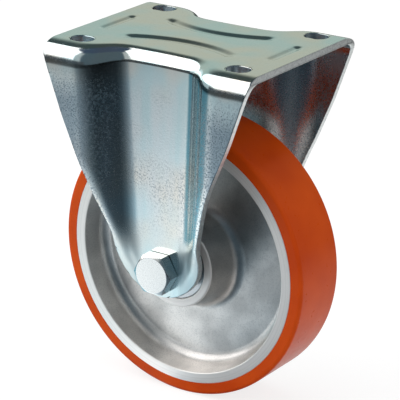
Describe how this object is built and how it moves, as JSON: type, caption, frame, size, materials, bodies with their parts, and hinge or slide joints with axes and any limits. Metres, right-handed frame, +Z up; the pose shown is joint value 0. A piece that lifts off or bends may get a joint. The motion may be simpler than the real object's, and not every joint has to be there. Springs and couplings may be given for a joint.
{
  "type": "fixed castor",
  "caption": "Fixed castor with a pressed steel plate fork and a polyurethane-tyred aluminium wheel on ball bearings.",
  "frame": {"origin": "centre of the mounting face, in the plane of the plate's top", "axes": "+Z up out of the mounting face, +X the rolling direction, the axle along Y with the bolt head on the -Y side"},
  "size_m": [0.125, 0.0853, 0.16],
  "materials": {
    "zinc_steel": "zinc plated, blue passivated pressed sheet",
    "cast_aluminium": "cast, ring and hub face turned bright",
    "polyurethane": "semi-gloss cast elastomer",
    "bolt_steel": "zinc plated",
    "nylon": "plain",
    "turned_steel": "turned",
    "bearing_steel": "ground",
    "cage_brass": "pressed",
    "seal_rubber": "moulded"
  },
  "bodies": {
    "bracket": {"bracket": "zinc_steel", "axle_bolt": "bolt_steel", "axle_nut": "bolt_steel", "nut_insert": "nylon", "axle_tube": "turned_steel", "inner_ring_spacer": "turned_steel", "front_distance_ring": "turned_steel", "front_inner_ring": "bearing_steel", "rear_distance_ring": "turned_steel", "rear_inner_ring": "bearing_steel"},
    "wheel": {"wheel_centre": "cast_aluminium", "tread": "polyurethane", "front_outer_ring": "bearing_steel", "front_outer_seal": "seal_rubber", "front_inner_seal": "seal_rubber", "rear_outer_ring": "bearing_steel", "rear_outer_seal": "seal_rubber", "rear_inner_seal": "seal_rubber"},
    "front_cage": {"front_cage": "cage_brass", "front_balls": "bearing_steel"},
    "rear_cage": {"rear_cage": "cage_brass", "rear_balls": "bearing_steel"}
  },
  "joints": [
    {"name": "wheel_spin", "type": "hinge", "parent": "bracket", "child": "wheel", "pos_m": [0, 0, -0.0975], "axis": [0, 1, 0], "continuous": true},
    {"name": "front_cage_spin", "type": "hinge", "parent": "bracket", "child": "front_cage", "pos_m": [0, 0, -0.0975], "axis": [0, 1, 0], "continuous": true},
    {"name": "rear_cage_spin", "type": "hinge", "parent": "bracket", "child": "rear_cage", "pos_m": [0, 0, -0.0975], "axis": [0, 1, 0], "continuous": true}
  ],
  "couplings": [
    {"joint": "front_cage_spin", "follows": "wheel_spin", "ratio": 0.60213},
    {"joint": "rear_cage_spin", "follows": "wheel_spin", "ratio": 0.60213}
  ]
}
